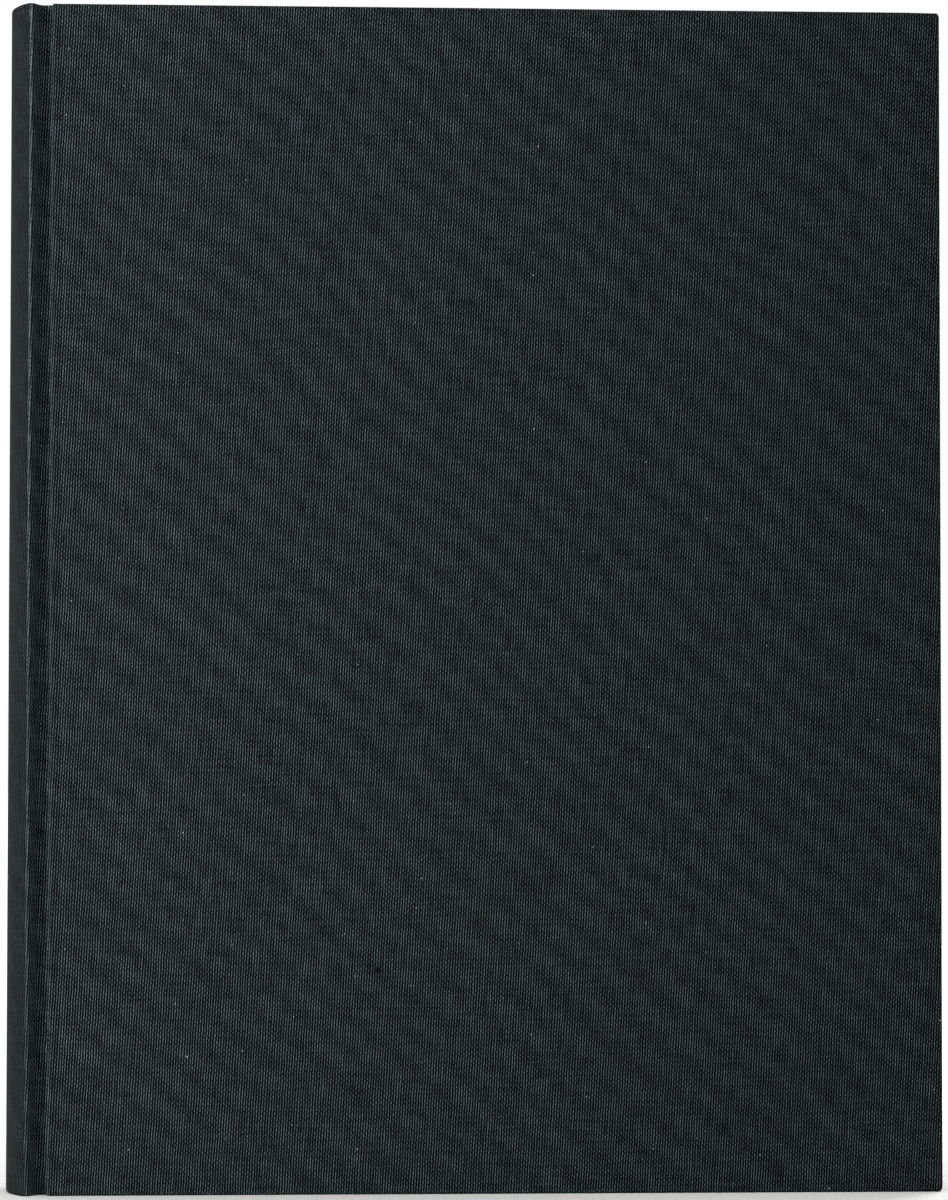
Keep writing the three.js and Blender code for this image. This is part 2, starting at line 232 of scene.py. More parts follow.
# Plain-woven cotton book cloth, dyed black, starched and calendered: round warp ribs lean a little,
# weft threads cross them, thick slubs and lint break the order, and the colour carries painted
# shade between the threads and a painted sheen on their crowns.
clothLook = {
    # The three colours below follow the threads' height: the darkest is painted shade between the
    # threads, the lightest a painted sheen on their crowns.
    "gap": "#020202",
    "body": "#070808",
    "bodyAt": 0.48,  # share of the thread's height at which the dye shows full
    "crownSheen": "#404a4b",
    "coolTint": (0.95, 1.0, 1.07, 1),  # the black dye leans to blue in places
    "lint": "#9aa2a4",
    "warpPitch": 0.617,  # mm between ribs, as in the photo
    "weftPitch": 0.56,  # mm; the real 0.345 would be finer than a pixel, so it is drawn coarser
    "lean": 0.059,  # ribs lean this much to the right for each mm up
    "weftLean": 0.012,
    "sway": 0.4,  # mm that the threads wander
    "dyeSpread": (3.0, -1.0),  # gain and offset on the noise, as in the other pairs below
    "weave": (0.26, 0.67),  # share of a rib's height that changes over and under the weft, and rest
    "yarn": {"rovings": 0.8, "slubs": 0.9, "grain": 1.35},  # shares of the noises named below
    "ribs": (1.05, -0.1),  # share of the weave in the colour, and what evens it out
    "bandSlope": (0.64, 0.77),
    "bandPitch": 7.2,  # mm between the faint diagonal bands of painted sheen
    "bandBend": 16.0,  # mm
    "bandDepth": 0.036,
    "lintSpacing": 14.0,  # mm
    "lintSize": 0.13,  # mm
    "lintChance": (1.4, -0.75),
    "lintPast": 2.5,  # mm from the groove's middle
    "knot": (87.5, 53.6, 0.0),  # mm; one dark knot in the yarn shows low on the cover
    "knotSize": (0.55, 0.88),  # mm from its middle, where it is dark and where it ends
    "backShade": 0.66,  # painted shade: the colour over the back is darkened, as the strip light falls on it more squarely
    "rubPlace": 0.4,  # mm past the crest of the ridge, where wear and a painted highlight make a bright line
    "rubWidth": 0.36,
    "rub": 0.7,
    "rubBroken": (4.0, -1.4),
    "rubRise": (0.85, 0.15),  # share gained from tail to head, and at the tail
    "paintedLight": "#50585a",
    "groove": (3.5, 3.2, 2.0),  # mm: the middle of the groove, and where its painted light starts and fills
    "grooveLight": 2.3,  # painted light: the colour in the groove is brightened where the ridge shades it
    "backMottle": 1.4,  # how much the grain mottles the painted shade on the back
    "roughness": (-0.25, 0.8),  # against the weave's height: crowns are smoother
    "relief": 0.00015,  # metres
    "yarnRelief": 0.3,
}
# Stretch across and up, scale in 1 / mm, detail and roughness.
clothNoises = {
    "sway": ((1, 1, 1), 0.2, 2.0, 0.6),
    "rovings": ((1.6, 0.1, 1), 1.0, 2.0, 0.6),
    "slubs": ((0.09, 1.9, 1), 1.0, 3.0, 0.6),
    "grain": ((1, 1, 1), 2.6, 2.0, 0.8),
    "bands": ((1, 1, 1), 0.012, 1.0, 0.6),
    "rub": ((0.5, 1.1, 1), 1.0, 3.0, 0.8),
    "dye": ((1, 1, 1), 0.05, 2.0, 0.6),
}


# The cloth reads its pieces' own attribute: x along the profile and y up, in millimetres. A rib is
# (1 + cos(turn)) / 2, and each crossing is over or under by cos(turn / 2) of warp times weft.
def bookClothMaterial():
    look = clothLook
    material, add = newMaterial("plain_woven_book_cloth")
    place = add("Attribute", attribute_name="place").outputs["Vector"]
    u, v = add("SeparateXYZ", place).outputs[:2]
    noise = {}
    for name, (stretch, scale, detail, rough) in clothNoises.items():
        mapped = add("Mapping", {"Vector": place, "Scale": stretch})
        noise[name] = add("TexNoise", {"Vector": mapped, "Scale": scale, "Detail": detail,
                                       "Roughness": rough})
    # Threads wander: low noise bends both sets of threads a little.
    sway = add("Math", noise["sway"], look["sway"], -look["sway"] / 2, **timesPlus)
    warp = add("Math", add("Math", v, -look["lean"], u, **timesPlus), sway, **plus)
    weft = add("Math", u, look["weftLean"], add("Math", v, sway, **plus), **timesPlus)
    turns = [add("Math", warp, fullTurn / look["warpPitch"], **times),
             add("Math", weft, fullTurn / look["weftPitch"], **times)]
    rib = add("Math", add("Math", turns[0], **cosine), 0.5, 0.5, **timesPlus)
    halves = [add("Math", add("Math", turn, 0.5, **times), **cosine) for turn in turns]
    over = add("Math", add("Math", *halves, **times), 0.5, 0.5, **timesPlus)
    woven = add("Math", rib, add("Math", over, *look["weave"], **timesPlus), **times)
    # Uneven yarn: noise drawn out along the warp, slubs along the weft, and a fine even grain.
    yarn = 0.0
    for name, share in look["yarn"].items():
        yarn = add("Math", noise[name], share, yarn, **timesPlus)
    # Faint diagonal bands of painted sheen: a slow sine across the diagonal, bent by noise.
    across, up = look["bandSlope"]
    diagonal = add("Math", u, across, add("Math", v, up, **times), **timesPlus)
    diagonal = add("Math", noise["bands"], look["bandBend"], diagonal, **timesPlus)
    sheenBands = add("Math", add("Math", diagonal, fullTurn / look["bandPitch"], **times), **sine)
    share, shift = look["ribs"]
    uneven = add("Math", yarn, 0.5, shift - 0.25 * sum(look["yarn"].values()), **timesPlus)
    level = add("Math", woven, share, uneven, **timesPlus)
    level = add("Math", sheenBands, look["bandDepth"], level, **timesPlus)
    # The crest of the ridge is painted bright in a thin broken line, for handling wear and a
    # painted highlight, more so near the head.
    fromCrest = add("Math", add("Math", u, look["rubPlace"], **minus), **unsigned)
    crest = add("Math", fromCrest, -1 / look["rubWidth"], 1.0, **timesPlus)
    rubAndHighlight = add("Math", add("Math", crest, 0.0, **most), look["rub"], **times)
    rubAndHighlight = add("Math", rubAndHighlight, add("Math", noise["rub"], *look["rubBroken"], **timesPlus), **times)
    gained, least = look["rubRise"]
    higher = add("Math", v, gained / book["height"], least, **timesPlus)
    rubAndHighlight = add("Math", rubAndHighlight, higher, **times)
    # The colour runs by thread height from painted shade between the threads, through the black
    # dye, to a painted sheen on the crowns.
    ramp = add("ValToRGB", level)
    stops = ramp.color_ramp.elements
    stops[0].position, stops[0].color = 0.0, colour(look["gap"])
    stops[1].position, stops[1].color = 1.0, colour(look["crownSheen"])
    stops.new(look["bodyAt"]).color = colour(look["body"])
    onBack = add("Math", u, 0.0, **below)
    cool = add("Math", noise["dye"], *look["dyeSpread"], **timesPlus)
    cool = add("Math", cool, onBack, **plus)
    tint = add("Mix", cool, (1, 1, 1, 1), look["coolTint"], **inColour)
    middle, start, full = look["groove"]
    fromMiddle = add("Math", add("Math", u, middle, **minus), **unsigned)
    inGroove = add("MapRange", fromMiddle, start, full, 0.0, 1.0)
    # Painted shade darkens the colour on the back, mottled by the grain, where the strip light
    # falls more squarely, and painted light brightens the colour in the groove, which the ridge
    # shades.
    mottle = look["backMottle"]
    paintedLight = add("Math", noise["grain"], mottle, -look["backShade"] - mottle / 2, **timesPlus)
    paintedShadeAndLight = add("Math", onBack, paintedLight, 1.0, **timesPlus)
    paintedShadeAndLight = add("Math", inGroove, look["grooveLight"], paintedShadeAndLight, **timesPlus)
    tint = add("VectorMath", {0: tint, "Scale": paintedShadeAndLight}, operation="SCALE")
    shown = add("Mix", 1.0, ramp, tint, blend_type="MULTIPLY", **inColour)
    # Painted highlight and wear: the crest's broken line is mixed towards a pale grey.
    shown = add("Mix", rubAndHighlight, shown, colour(look["paintedLight"]), **inColour)
    # Lint: small specks of many brightnesses at Voronoi points, on the covers alone.
    specks = add("TexVoronoi", {"Vector": place, "Scale": 1 / look["lintSpacing"]},
                 voronoi_dimensions="2D")
    near = add("Math", specks, look["lintSize"] / look["lintSpacing"], **below)
    chance = add("SeparateXYZ", specks.outputs["Color"])
    bright = add("Math", chance, *look["lintChance"], **timesPlus)
    bright = add("Math", bright, 0.0, **most)
    onCover = add("Math", u, middle + look["lintPast"], **above)
    lint = add("Math", add("Math", near, bright, **times), onCover, **times)
    shown = add("Mix", lint, shown, colour(look["lint"]), **inColour)
    toKnot = add("VectorMath", place, look["knot"], operation="DISTANCE").outputs["Value"]
    knot = add("MapRange", toKnot, *look["knotSize"], 1.0, 0.0)
    shown = add("Mix", knot, shown, colour(look["gap"]), **inColour)
    height = add("Math", yarn, look["yarnRelief"], woven, **timesPlus)
    bump = add("Bump", {"Height": height, "Strength": 1.0, "Distance": look["relief"]})
    shader = add("BsdfPrincipled", {
        "Base Color": shown, "Normal": bump,
        "Roughness": add("Math", woven, *look["roughness"], **timesPlus),
        "IOR": 1.5, "Specular IOR Level": 0.025})  # the pits between threads trap light
    add("OutputMaterial", shader)
    return material


# Uncoated wood-free paper: soft fibre clouds, a matt face, and each leaf a shade of its own.
# The ruling is printed in thin grey-blue and red ink, to generic ledger columns.
pageLook = {
    "page": ("#f7f3e9", "#d8d1c1"),
    "endpaper": ("#c6c4bc", "#b0aea6"),
    "shares": {"cloud": 0.3, "fibre": 0.25, "tone": 0.55},  # of the light shade
    "blue": "#8fa9bd",
    "red": "#bf7f78",
    "ink": 0.75,
    "linePitch": 8.0,  # mm between the ruled lines
    "lineWidth": 0.28,
    "ruleEnd": 208.0,  # mm from the gutter; the ruling stops short of the fore edge
    "topMargin": 26.0,
    "tailMargin": 12.0,
    "columns": (18.0, 44.0, 132.0, 158.0, 184.0),  # mm from the gutter
    "columnPast": 8.0,  # mm that the columns run past the top line
}


# A ruled line shows where a triangle wave of the height falls below half its width, and a column
# where the distance from its place does. The place's third value is 1 on a page, 0 on a cut edge.
def paperMaterial(name, stock, ruled):
    look = pageLook
    light, dark = look[stock]
    material, add = newMaterial(name)
    place = add("Attribute", attribute_name="place").outputs["Vector"]
    shades = {
        "cloud": add("TexNoise", {"Vector": place, "Scale": 0.16, "Detail": 4.0}),
        "fibre": add("TexNoise", {"Vector": place, "Scale": 2.2, "Detail": 4.0}),
        "tone": add("Attribute", attribute_name="tone").outputs["Fac"]}
    shade = -0.1
    for source, share in look["shares"].items():
        shade = add("Math", shades[source], share, shade, **timesPlus)
    shown = add("Mix", shade, colour(dark), colour(light), **inColour)
    if ruled:
        x, z, page = add("SeparateXYZ", place).outputs[:3]
        low = book["leafTail"] + look["tailMargin"]
        high = book["leafHead"] - look["topMargin"]
        half = look["lineWidth"] / 2
        wave = add("Math", add("Math", z, low, **minus), look["linePitch"] / 2, **pingPong)
        blue = add("Math", wave, half, **below)
        for within in (add("Math", z, low - 1, **above), add("Math", z, high + 1, **below),
                       add("Math", x, look["ruleEnd"], **below)):
            blue = add("Math", blue, within, **times)
        red = 0.0
        for column in look["columns"]:
            away = add("Math", add("Math", x, column, **minus), **unsigned)
            red = add("Math", red, add("Math", away, half, **below), **most)
        red = add("Math", red, add("Math", z, high + look["columnPast"], **below), **times)
        for ink, mask in ((look["blue"], blue), (look["red"], red)):
            printed = add("Math", add("Math", mask, page, **times), look["ink"], **times)
            shown = add("Mix", printed, shown, colour(ink), **inColour)
    shader = add("BsdfPrincipled", {
        "Base Color": shown, "Specular IOR Level": 0.25,
        "Roughness": add("Math", shades["cloud"], 0.1, 0.82, **timesPlus),
        "Normal": add("Bump", {"Height": shades["fibre"], "Strength": 0.12,
                               "Distance": 0.00005})})
    add("OutputMaterial", shader)
    return material


# Fibrous stock on Object coordinates: binder's board, manila card, kraft paper or linen thread.
# speck is the size of a fibre clump in mm, and stretch pulls it out along one axis.
def fibreMaterial(name, light, dark, speck, stretch=(1, 1, 1), roughness=0.9):
    material, add = newMaterial(name)
    where = add("TexCoord").outputs["Object"]
    turned = add("Mapping", {"Vector": where, "Scale": stretch})
    fine = add("TexNoise", {"Vector": turned, "Detail": 5.0, "Scale": 1 / (speck * mm),
                            "Roughness": 0.7})
    shader = add("BsdfPrincipled", {
        "Base Color": add("Mix", fine, colour(dark), colour(light), **inColour),
        "Roughness": add("Math", fine, -0.1, roughness + 0.05, **timesPlus),
        "Specular IOR Level": 0.2,
        "Normal": add("Bump", {"Height": fine, "Strength": 0.5, "Distance": 0.0001})})
    add("OutputMaterial", shader)
    return material


# Open muslin, stiff with size: threads 1.1 mm apart each way over the glue's yellow, each a cosine
# ridge, with the higher of the two on top.
def muslinMaterial():
    material, add = newMaterial("starched_muslin")
    place = add("Attribute", attribute_name="place").outputs["Vector"]
    ridges = [add("Math", add("Math", along, fullTurn / 1.1, **times), **cosine)
              for along in add("SeparateXYZ", place).outputs[:2]]
    thread = add("Math", add("Math", *ridges, **most), 0.5, 0.5, **timesPlus)
    shader = add("BsdfPrincipled", {
        "Base Color": add("Mix", thread, colour("#a89c7c"), colour("#e4dfcf"), **inColour),
        "Roughness": 0.95,
        "Normal": add("Bump", {"Height": thread, "Strength": 0.6, "Distance": 0.0002})})
    add("OutputMaterial", shader)
    return material


# Head band silk over a cord: wraps in two greys, 1.2 mm of each, with the gloss of mercerised
# thread and strands 0.3 mm apart.
def bandMaterial():
    material, add = newMaterial("wrapped_band_thread")
    place = add("Attribute", attribute_name="place").outputs["Vector"]
    along = add("SeparateXYZ", place)
    wrap, strand = (add("Math", add("Math", along, fullTurn / pitch, **times), **sine)
                    for pitch in (2.4, 0.3))
    isLight = add("Math", wrap, 0.0, **above)
    shader = add("BsdfPrincipled", {
        "Base Color": add("Mix", isLight, colour("#2a2d30"), colour("#c9c6bd"), **inColour),
        "Roughness": 0.55,
        "Normal": add("Bump", {"Height": strand, "Strength": 0.5, "Distance": 0.00008})})
    add("OutputMaterial", shader)
    return material


bookCloth = bookClothMaterial()
ruledPaper = paperMaterial("ruled_writing_paper", "page", True)
endPaper = paperMaterial("heavy_endpaper", "endpaper", False)
muslin = muslinMaterial()
bandThread = bandMaterial()
greyBoard = fibreMaterial("solid_grey_board", "#a39d91", "#6f6a61", 1.4)
manilaCard = fibreMaterial("manila_card", "#c6b48d", "#9d8a63", 0.7)
kraftPaper = fibreMaterial("brown_kraft_paper", "#b48a58", "#8a6438", 0.9, (1, 1, 4))
linenThread = fibreMaterial("waxed_linen_thread", "#efe8d5", "#c5bb9f", 0.5, (1, 0.2, 1), 0.7)
print("materials done")


# The case's cloth

clothShape = {
    "ridgeRadius": 1.0,
    "grooveDepth": 2.4,
    "wallEnd": 3.4,
    "floorEnd": 4.7,
    "handle": 1.5,
    "boardEdge": 5.55,
    "edgeRadius": 0.6,
    "dipStart": 6.4,  # the pressed band beside the board's edge
    "dipEnd": 10.3,
    "dip": 0.16,
    "spineCore": 1.3,  # from the cloth's outer face to the inner face of its turn-in on the back
    "cornerRadius": 1.1,
}
ridgeAngle = math.asin(book["ridgeHalf"] / book["backRadius"])
ridgeTangent = clothShape["ridgeRadius"] * math.tan((math.pi / 2 - ridgeAngle) / 2)
arcEnd = ridgeAngle - ridgeTangent / book["backRadius"]
proud = book["ridgeProud"]


# The groove's wall: a cubic from the crest of the ridge to the floor, level at both ends.
def grooveWall(n):
    s = clothShape
    return bezier([(ridgeTangent, proud), (ridgeTangent + s["handle"], proud),
                   (s["wallEnd"] - s["handle"], s["grooveDepth"]),
                   (s["wallEnd"], s["grooveDepth"])], n)


# Outer profile of the cloth from the middle of the back to the fore edge: an arc, the ridge, the
# groove, the board's edge, the pressed band and the flat face, then a quarter round to the edge.
def outerProfile():
    s, r = clothShape, clothShape["edgeRadius"]
    a = np.linspace(0, arcEnd, 23)
    arc = np.stack([book["backCentre"] - book["backRadius"] * np.cos(a),
                    book["half"] - book["backRadius"] * np.sin(a)], 1)
    rise = s["boardEdge"] - s["floorEnd"]
    edge, floor = s["boardEdge"], s["grooveDepth"]
    ridge = bezier([arc[-1], (0, proud), (ridgeTangent, proud)], 8)
    up = bezier([(s["floorEnd"], floor), (edge, floor), (edge, floor - rise)], 6)
    over = bezier([(edge, r), (edge, 0), (edge + r, 0)], 6)
    band = line((edge + r, 0), (s["dipEnd"], 0), 12)
    band[:, 1] += s["dip"] * np.sin(np.pi * smooth((band[:, 0] - s["dipStart"] + 0.4)
                                                  / (s["dipEnd"] - s["dipStart"] + 0.4))) ** 2
    face = line((s["dipEnd"], 0), (book["foreX"] - r, 0), 26)
    q = np.linspace(0, math.pi / 2, 7)[1:]
    corner = np.stack([book["foreX"] - r + r * np.sin(q), r - r * np.cos(q)], 1)
    return np.concatenate([arc, ridge, grooveWall(14), line((s["wallEnd"], floor),
                           (s["floorEnd"], floor), 4), up, line((edge, floor - rise), (edge, r), 3),
                           over, band, face, corner])


# Inner profile of the turned-in cloth, point for point: inside the card on the back, two cloths
# down in the joint, and under the board on the cover.
def innerProfile(outer):
    s, r = clothShape, clothShape["edgeRadius"]
    x = outer[:, 0]
    core = 2 * book["cloth"] + 0.1
    backShare = smooth((outer[:, 1] - 2.2) / 2.0) * (x < 0)
    near = sideways(outer, core) * (1 - backShare[:, None])
    near += sideways(outer, s["spineCore"]) * backShare[:, None]
    inner = np.array(near)
    first = np.argmax(x >= s["floorEnd"])
    last = np.argmax(x >= s["boardEdge"] + r - 1e-6)
    share = np.linspace(0, 1, last - first + 1)
    inner[first:last + 1, 0] = x[first] + (x[last] - x[first]) * share
    inner[first:, 1] = book["turnInUnder"]
    inner[last:, 0] = x[last:]
    rounded = x > book["foreX"] - r
    inner[rounded, 1] = book["turnInUnder"] - outer[rounded, 1]
    return inner


# How far the rounded corner stands in from the head or tail at x: R - sqrt(R^2 - past^2), where
# past is how far x lies beyond the corner's centre.
def cornerCut(x):
    radius = clothShape["cornerRadius"]
    past = np.clip(x - (book["foreX"] - radius), 0, radius)
    return radius - np.sqrt(radius ** 2 - past ** 2)


# Case cloth from the middle of the back to the fore edge, folded in at head and tail. For each
# point of the profile the fold is two quarter rounds between the outer and the inner profile.
def foldedCloth(side):
    outer = outerProfile()
    inner = innerProfile(outer)
    span = inner - outer
    c = np.linalg.norm(span, axis=1)[:, None]
    direction = span / c
    r = np.minimum(clothShape["edgeRadius"], c / 2 - 0.01)
    high = book["height"]
    toFore = np.maximum(book["foreX"] - outer[:, :1], 0.9)
    turned = np.minimum(book["turnIn"], toFore)
    q = np.linspace(0, math.pi / 2, 6)
    flatZ = np.linspace(0, 1, 4)[:-1]
    # Head half, from the end of the turn-in to the face: offset towards the inside, and height.
    offset = np.concatenate([c + 0 * flatZ, c - r + r * np.cos(q), (r - r * np.sin(q))], 1)
    drop = np.concatenate([turned + (r - turned) * flatZ, r - r * np.sin(q),
                           r - r * np.cos(q)], 1)
    drop = drop + cornerCut(outer[:, :1])
    faceZ = np.linspace(0, 1, 26)[1:-1]
    zFace = high - drop[:, -1:] - (high - 2 * drop[:, -1:]) * faceZ
    offset = np.concatenate([offset, 0 * c * faceZ, offset[:, ::-1]], 1)
    z = np.concatenate([high - drop, zFace, drop[:, ::-1]], 1)
    # The hand-glued cloth isn't dead flat: long low waves of a few hundredths of a millimetre.
    lie = 0.035 * np.sin(outer[:, :1] / 19 + z / 31) * smooth((outer[:, :1] - 12) / 12)
    lie *= smooth(z / 20) * smooth((high - z) / 20) * smooth(toFore / 20)
    offset = offset + np.where(offset == 0, np.abs(lie), 0)
    xy = outer[:, None, :] + direction[:, None, :] * offset[..., None]
    grid = inBook(np.concatenate([xy, z[..., None]], -1), side)
    s = lengthAlong(outer)[:, None] + 0 * z
    place = np.stack([s - ridgeLength, np.where(offset > 0.3, z + offset, z), 0 * s], -1)
    normal = gridNormals(grid)
    middle = len(outer) // 2, z.shape[1] // 2
    if normal[middle][1] * side > 0:
        normal = -normal
    return shellPart(grid, grid + normal * book["cloth"], place)


# The fore edge's turn-in: down the edge, round to the inner face and back, mitred at both ends.
def foreTurnIn(side):
    r, high = clothShape["edgeRadius"], book["height"]
    under, foreX = book["turnInUnder"], book["foreX"]
    q = np.linspace(0, math.pi / 2, 7)[1:]
    corner = np.stack([foreX - r + r * np.cos(q), under - r + r * np.sin(q)], 1)
    path = np.concatenate([[(foreX, r)], line((foreX, r), (foreX, under - r), 4), corner,
                           line((foreX - r, under), (foreX - book["turnIn"], under), 8)])
    cutBack = np.maximum(foreX - path[:, :1] + 0.3, cornerCut(path[:, :1]) - 0.05)
    t = np.linspace(0, 1, 30)
    z = cutBack + (high - 2 * cutBack) * t
    xy = np.repeat(path[:, None, :], len(t), axis=1)
    grid = inBook(np.concatenate([xy, z[..., None]], -1), side)
    s = lengthAlong(path)[:, None] + 0 * z
    place = np.stack([s + foreX, z, 0 * s], -1)
    inward = sideways(path, book["cloth"])
    far = inBook(np.concatenate([np.repeat(inward[:, None, :], len(t), axis=1), z[..., None]], -1),
                 side)
    return shellPart(grid, far, place)


profile = outerProfile()
ridgeLength = lengthAlong(profile)[np.argmin(np.abs(profile[:, 0]) + np.abs(profile[:, 1] - proud))]


# Bakes a piece's transform into its mesh.
def bendsWith(piece):
    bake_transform(piece)


caseCloths = []
for cover, side in (("front", -1), ("back", 1)):
    cloth = makePiece(f"{cover}_case_cloth", [foldedCloth(side), foreTurnIn(side)], bookCloth)
    bendsWith(cloth)
    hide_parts(f"{cover}_cloth", f"{cover}_joint_cloth", "spine_cloth")
    caseCloths.append(cloth)
print("cloth done")


# Endpapers, flyleaves and the muslin under them

blockShape = {
    "half": book["half"] - book["coverThick"] - 0.25,
    "shoulder": book["half"] - 0.85,
    "setBack": 0.3,
    "flare": 2.6,
    "foldRadius": book["backRadius"] - 2.0,
    "leafPitch": 0.3,
    "leaf": 0.2,
}


# Place in the fan of the block: a level's share of the shoulder, and where its fold lies.
def foldLevel(level):
    return level * blockShape["shoulder"] / blockShape["half"]


def foldX(level):
    arc = np.sqrt(np.maximum(blockShape["foldRadius"] ** 2 - foldLevel(level) ** 2, 0))
    return np.minimum(book["backCentre"] - arc, -blockShape["setBack"])


# Y of a level at x: it moves from its pressed height to its fold height by a smooth step.
def fanned(level, x):
    share = smooth((foldX(level) + blockShape["flare"] - x) / blockShape["flare"])
    return level + (foldLevel(level) - level) * share


# A sheet of one thickness that follows a path (x, y) in the row frame, between two heights.
def pathSheet(path, thick, low, high, tone=0.5, onPage=1.0, columns=8):
    d = np.gradient(path, axis=0)
    d /= np.linalg.norm(d, axis=1, keepdims=True)
    normal = np.stack([-d[:, 1], d[:, 0]], 1) * thick / 2
    z = np.linspace(low, high, columns)
    grids = []
    for edge in (path + normal, path - normal):
        xy = np.repeat(edge[:, None, :], columns, axis=1)
        grids.append(np.concatenate([xy, np.broadcast_to(z[None, :, None],
                                                         (len(path), columns, 1))], -1))
        grids[-1][..., 0] += book["ridgeX"]
    s = lengthAlong(path) + path[0, 0]
    place = np.stack(np.broadcast_arrays(s[:, None], z[None, :], onPage), -1)
    return shellPart(grids[0], grids[1], place, tone)


# A leaf's path: fanned heights at x from its fold, closer together in the flare, to foreX.
def leafPath(level, foreX):
    start = foldX(level)
    x = np.concatenate([np.linspace(start, start + blockShape["flare"], 14),
                        np.linspace(start + blockShape["flare"], foreX, 20)[1:]])
    return np.stack([x, fanned(level, x)], 1)


leaves = {
    "front_flyleaf": {"side": -1, "number": 0, "material": endPaper, "slot": "endpaper"},
    "leaf_1": {"side": -1, "number": 1, "material": ruledPaper, "slot": "page_paper"},
    "leaf_2": {"side": -1, "number": 2, "material": ruledPaper, "slot": "page_paper"},
    "leaf_3": {"side": -1, "number": 3, "material": ruledPaper, "slot": "page_paper"},
    "back_flyleaf": {"side": 1, "number": 0, "material": endPaper, "slot": "endpaper"},
}
for name, leaf in leaves.items():
    level = leaf["side"] * (blockShape["half"] - leaf["number"] * blockShape["leafPitch"]
                            - blockShape["leaf"] / 2)
    path = leafPath(level, book["leafForeX"])
    sheet = pathSheet(path, blockShape["leaf"] * 0.9, book["leafTail"], book["leafHead"], 0.55)
    piece = makePiece(name + "_sheet", [sheet], leaf["material"])
    bendsWith(piece)
    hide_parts(name, name + "_gutter")

endpaperShape = {"thick": 0.2, "sunk": 0.34, "slope": 2.0, "mull": 30.0, "mullThick": 0.2}


# The inner joint's path under the cloth: the groove's wall moved in, then level at the board.
def underPath(depth, endX, n):
    s = clothShape
    wall = np.concatenate([[(ridgeTangent, proud)], grooveWall(14)])
    level = line((s["wallEnd"], s["grooveDepth"]), (endX, s["grooveDepth"]), n)
    path = np.concatenate([wall, level])
    return sideways(path, depth - s["grooveDepth"])


# The endpaper on the cover: level over the turned-in cloth, sunk to the board between the
# turn-ins by a product of smooth steps across and along.
def pastedown(side):
    thick = endpaperShape["thick"]
    path = underPath(book["pasteTop"], book["leafForeX"], 60)
    z = np.linspace(book["leafTail"], book["leafHead"], 70)
    x = path[:, :1]
    edge = book["foreX"] - book["turnIn"]
    slope = endpaperShape["slope"]
    window = smooth((x - endpaperShape["mull"]) / slope) * smooth((edge - x) / slope)
    window = window * smooth((z - book["turnIn"]) / slope)
    window = window * smooth((book["height"] - book["turnIn"] - z) / slope)
    rise = endpaperShape["sunk"] * window
    sides = []
    for extra in (0.0, thick):
        moved = sideways(path, extra)
        depth = moved[:, 1:2] - rise
        xy = np.stack([moved[:, :1] + 0 * rise, depth], -1)
        sides.append(inBook(np.concatenate([xy, np.broadcast_to(z, rise.shape)[..., None]], -1),
                            side))
    s = lengthAlong(path)[:, None] + 0 * rise
    place = np.stack([s, np.broadcast_to(z, rise.shape), 0 * s], -1)
    return shellPart(sides[0], sides[1], place, 0.5)


# The muslin's flange follows the inner joint 0.1 mm under the cloth that is turned in.
def mullFlange(side):
    path = underPath(2.85 + 0.1, endpaperShape["mull"], 12)
    path = np.stack([path[:, 0], side * (book["half"] - path[:, 1])], 1)
    return pathSheet(path, endpaperShape["mullThick"] * 0.8, book["leafTail"] + 12,
                     book["leafHead"] - 12, 0.5, 0.0, 12)


for cover, side in (("front", -1), ("back", 1)):
    piece = makePiece(f"{cover}_endpaper", [pastedown(side)], endPaper)
    bendsWith(piece)
    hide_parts(f"{cover}_pastedown", f"{cover}_endpaper_joint")
    flange = makePiece(f"{cover}_mull", [mullFlange(side)], muslin)
    bendsWith(flange)
    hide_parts(f"{cover}_mull_flange")
print("endpapers done")


# The sections: folded sheets nested one in another, each with its own shade and cut

sectionShape = {
    "count": 12,
    "thick": 1.15,
    "pitch": 1.23,
    "folded": 4,  # nested sheets in a section; drawn fewer and thicker than the real 6
    "sheetThick": 0.125,
    "leafWidth": 215.9,
    "ragged": 0.10,
}
random = np.random.default_rng(7)


# One folded sheet: in along a low level, round the fold by a half ellipse, and out along a high
# level.
def foldedSheet(low, high, tone):
    s = sectionShape
    jitter = random.uniform(-1, 1, 2) * s["ragged"]
    mid = (low + high) / 2
    setIn = s["thick"] / 2 - (high - low) / 2
    start = foldX(mid) + setIn + 0.05
    legs = []
    for level, push in ((low, jitter[0]), (high, jitter[1])):
        x = np.concatenate([np.linspace(start + 0.35, foldX(level) + blockShape["flare"], 12),
                            np.linspace(foldX(level) + blockShape["flare"],
                                        foldX(level) + s["leafWidth"] + push, 6)[1:]])
        legs.append(np.stack([x, fanned(level, x)], 1))
    a, b = legs[0][0], legs[1][0]
    q = np.linspace(-math.pi / 2, math.pi / 2, 9)[1:-1]
    nose = np.stack([a[0] - 0.35 * np.cos(q), (a[1] + b[1]) / 2 + (b[1] - a[1]) / 2 * np.sin(q)], 1)
    path = np.concatenate([legs[0][::-1], nose, legs[1]])
    sheet = pathSheet(path, s["sheetThick"], book["leafTail"], book["leafHead"], tone, 1.0, 4)
    sheet["place"][:, 0] = np.tile(np.repeat(path[:, 0], 4), 2)
    return sheet


# A section's sheets: each is set in from both faces by its place in the nest times the leaf pitch.
def sectionParts(index):
    s = sectionShape
    low = 4 * blockShape["leafPitch"] - blockShape["half"] + index * s["pitch"]
    leafPitch = s["thick"] / (2 * s["folded"])
    parts = []
    for nest in range(s["folded"]):
        inset = leafPitch * (nest + 0.5)
        tone = 0.5 + random.uniform(-0.45, 0.45)
        parts.append(foldedSheet(low + inset, low + s["thick"] - inset, tone))
    return parts


